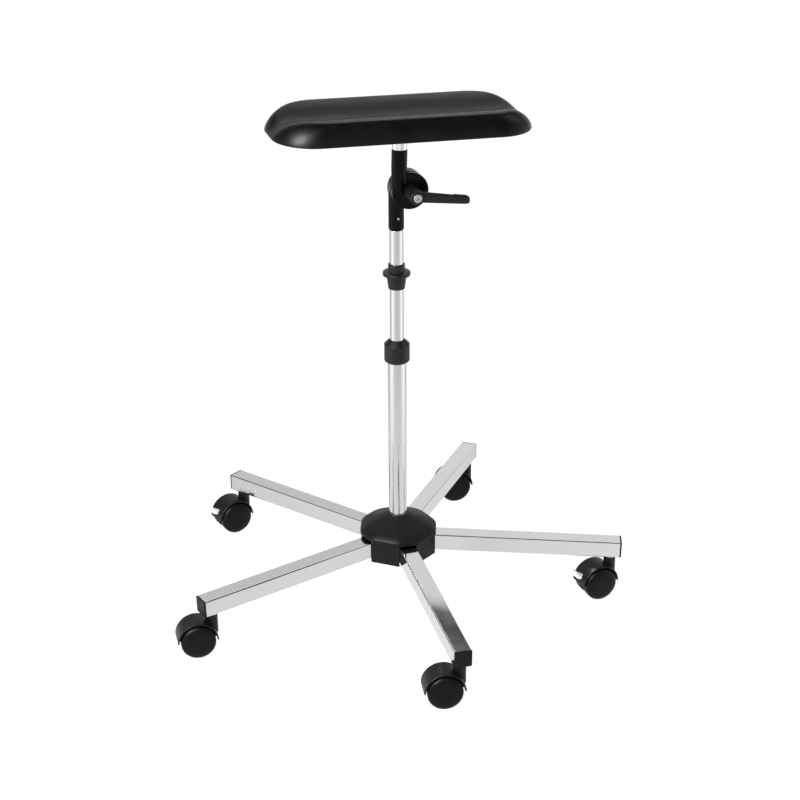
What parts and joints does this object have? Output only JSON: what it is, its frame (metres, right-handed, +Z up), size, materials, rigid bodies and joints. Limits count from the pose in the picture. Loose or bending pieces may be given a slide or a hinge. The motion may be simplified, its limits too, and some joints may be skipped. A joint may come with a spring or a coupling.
{
  "type": "arm and leg rest stand",
  "caption": "Height-adjustable rest stand with a trough-shaped tilting pad, a telescopic chromed column with a clamp collar, and a star base on brakeable twin-wheel castors.",
  "frame": {"origin": "on the floor, below the centre of the stand's box", "axes": "+Z up along the column, +X to the right and +Y away from the viewer in the picture"},
  "size_m": [0.6524, 0.6484, 0.7541],
  "materials": {
    "chrome": "bright chrome plate on steel tube",
    "zinc_steel": "zinc-plated steel",
    "moulded_nylon": "satin charcoal moulded nylon",
    "castor_nylon": "satin charcoal moulded nylon",
    "brake_nylon": "light grey moulded nylon",
    "lacquered_zinc": "satin black lacquer on die-cast zinc",
    "pad_skin": "satin black polyurethane skin over foam"
  },
  "bodies": {
    "base": {"hub_body": "moulded_nylon", "hub_cover": "moulded_nylon", "arm_1": "chrome", "arm_2": "chrome", "arm_3": "chrome", "arm_4": "chrome", "arm_5": "chrome", "end_cap_1": "moulded_nylon", "end_cap_2": "moulded_nylon", "end_cap_3": "moulded_nylon", "end_cap_4": "moulded_nylon", "end_cap_5": "moulded_nylon", "castor_stem_1": "zinc_steel", "castor_stem_2": "zinc_steel", "castor_stem_3": "zinc_steel", "castor_stem_4": "zinc_steel", "castor_stem_5": "zinc_steel", "outer_tube": "chrome", "column_plug": "zinc_steel", "column_bolt": "zinc_steel", "collet": "moulded_nylon"},
    "castor_1": {"castor_hood_1": "castor_nylon", "castor_axle_1": "zinc_steel"},
    "castor_2": {"castor_hood_2": "castor_nylon", "castor_axle_2": "zinc_steel"},
    "castor_3": {"castor_hood_3": "castor_nylon", "castor_axle_3": "zinc_steel"},
    "castor_4": {"castor_hood_4": "castor_nylon", "castor_axle_4": "zinc_steel"},
    "castor_5": {"castor_hood_5": "castor_nylon", "castor_axle_5": "zinc_steel"},
    "wheel_l1": {"wheel_left_1": "castor_nylon"},
    "wheel_r1": {"wheel_right_1": "castor_nylon"},
    "wheel_l2": {"wheel_left_2": "castor_nylon"},
    "wheel_r2": {"wheel_right_2": "castor_nylon"},
    "wheel_l3": {"wheel_left_3": "castor_nylon"},
    "wheel_r3": {"wheel_right_3": "castor_nylon"},
    "wheel_l4": {"wheel_left_4": "castor_nylon"},
    "wheel_r4": {"wheel_right_4": "castor_nylon"},
    "wheel_l5": {"wheel_left_5": "castor_nylon"},
    "wheel_r5": {"wheel_right_5": "castor_nylon"},
    "brake_1": {"brake_lever_1": "brake_nylon"},
    "brake_4": {"brake_lever_4": "brake_nylon"},
    "collar": {"clamp_collar": "moulded_nylon"},
    "carriage": {"guide_bush": "moulded_nylon"},
    "mast": {"inner_tube": "chrome", "tube_plug": "zinc_steel", "stop_collar": "moulded_nylon", "joint_lower": "lacquered_zinc", "set_screw_lower": "zinc_steel", "clamp_bolt": "zinc_steel"},
    "head": {"joint_upper": "lacquered_zinc", "set_screw_upper": "zinc_steel", "spigot": "chrome", "pad_plate": "zinc_steel", "pad": "pad_skin"},
    "clamp": {"lever_insert": "zinc_steel", "lever_screw": "zinc_steel"},
    "handle": {"lever": "lacquered_zinc", "lever_spring": "zinc_steel"}
  },
  "joints": [
    {"name": "castor_1_swivel", "type": "hinge", "parent": "base", "child": "castor_1", "pos_m": [-0.25395, 0.20709, 0.0613], "axis": [0, 0, 1], "continuous": true},
    {"name": "castor_2_swivel", "type": "hinge", "parent": "base", "child": "castor_2", "pos_m": [-0.27247, -0.16475, 0.0613], "axis": [0, 0, 1], "continuous": true},
    {"name": "castor_3_swivel", "type": "hinge", "parent": "base", "child": "castor_3", "pos_m": [0.07546, -0.29726, 0.0613], "axis": [0, 0, 1], "continuous": true},
    {"name": "castor_4_swivel", "type": "hinge", "parent": "base", "child": "castor_4", "pos_m": [0.309, -0.00731, 0.0613], "axis": [0, 0, 1], "continuous": true},
    {"name": "castor_5_swivel", "type": "hinge", "parent": "base", "child": "castor_5", "pos_m": [0.10541, 0.30439, 0.0613], "axis": [0, 0, 1], "continuous": true},
    {"name": "wheel_l1_spin", "type": "hinge", "parent": "castor_1", "child": "wheel_l1", "pos_m": [-0.27261, 0.19544, 0.025], "axis": [-0.5299, 0.848, 0], "continuous": true},
    {"name": "wheel_r1_spin", "type": "hinge", "parent": "castor_1", "child": "wheel_r1", "pos_m": [-0.27261, 0.19544, 0.025], "axis": [-0.5299, 0.848, 0], "continuous": true},
    {"name": "wheel_l2_spin", "type": "hinge", "parent": "castor_2", "child": "wheel_l2", "pos_m": [-0.29386, -0.16988, 0.025], "axis": [-0.2334, 0.9724, 0], "continuous": true},
    {"name": "wheel_r2_spin", "type": "hinge", "parent": "castor_2", "child": "wheel_r2", "pos_m": [-0.29386, -0.16988, 0.025], "axis": [-0.2334, 0.9724, 0], "continuous": true},
    {"name": "wheel_l3_spin", "type": "hinge", "parent": "castor_3", "child": "wheel_l3", "pos_m": [0.05367, -0.30032, 0.025], "axis": [-0.1392, 0.9903, 0], "continuous": true},
    {"name": "wheel_r3_spin", "type": "hinge", "parent": "castor_3", "child": "wheel_r3", "pos_m": [0.05367, -0.30032, 0.025], "axis": [-0.1392, 0.9903, 0], "continuous": true},
    {"name": "wheel_l4_spin", "type": "hinge", "parent": "castor_4", "child": "wheel_l4", "pos_m": [0.2888, -0.01605, 0.025], "axis": [-0.3971, 0.9178, 0], "continuous": true},
    {"name": "wheel_r4_spin", "type": "hinge", "parent": "castor_4", "child": "wheel_r4", "pos_m": [0.2888, -0.01605, 0.025], "axis": [-0.3971, 0.9178, 0], "continuous": true},
    {"name": "wheel_l5_spin", "type": "hinge", "parent": "castor_5", "child": "wheel_l5", "pos_m": [0.08411, 0.29889, 0.025], "axis": [-0.2504, 0.9681, 0], "continuous": true},
    {"name": "wheel_r5_spin", "type": "hinge", "parent": "castor_5", "child": "wheel_r5", "pos_m": [0.08411, 0.29889, 0.025], "axis": [-0.2504, 0.9681, 0], "continuous": true},
    {"name": "brake_1_press", "type": "hinge", "parent": "castor_1", "child": "brake_1", "pos_m": [-0.28712, 0.18637, 0.03372], "axis": [0.5299, -0.848, 0], "range_deg": [0, 18]},
    {"name": "brake_4_press", "type": "hinge", "parent": "castor_4", "child": "brake_4", "pos_m": [0.2731, -0.02285, 0.03372], "axis": [0.3971, -0.9178, 0], "range_deg": [0, 18]},
    {"name": "collar_twist", "type": "hinge", "parent": "base", "child": "collar", "pos_m": [-0.00731, 0.00843, 0.39], "axis": [0, 0, 1], "range_deg": [0, 120]},
    {"name": "mast_slide", "type": "slide", "parent": "base", "child": "carriage", "axis": [0, 0, 1], "range_m": [-0.0777, 0.155]},
    {"name": "mast_turn", "type": "hinge", "parent": "carriage", "child": "mast", "pos_m": [-0.00731, 0.00843, 0.57306], "axis": [0, 0, 1], "continuous": true},
    {"name": "pad_tilt", "type": "hinge", "parent": "mast", "child": "head", "pos_m": [0.00707, 0.01269, 0.63236], "axis": [-0.284, 0.9588, 0], "range_deg": [-75, 75]},
    {"name": "lever_turn", "type": "hinge", "parent": "mast", "child": "clamp", "pos_m": [0.00707, 0.01269, 0.63236], "axis": [0.284, -0.9588, 0], "range_deg": [-20, 160]},
    {"name": "lever_pull", "type": "slide", "parent": "clamp", "child": "handle", "axis": [0.284, -0.9588, 0], "range_m": [0, 0.0035], "stiffness_N_per_m": 600, "springref_m": -0.003}
  ]
}
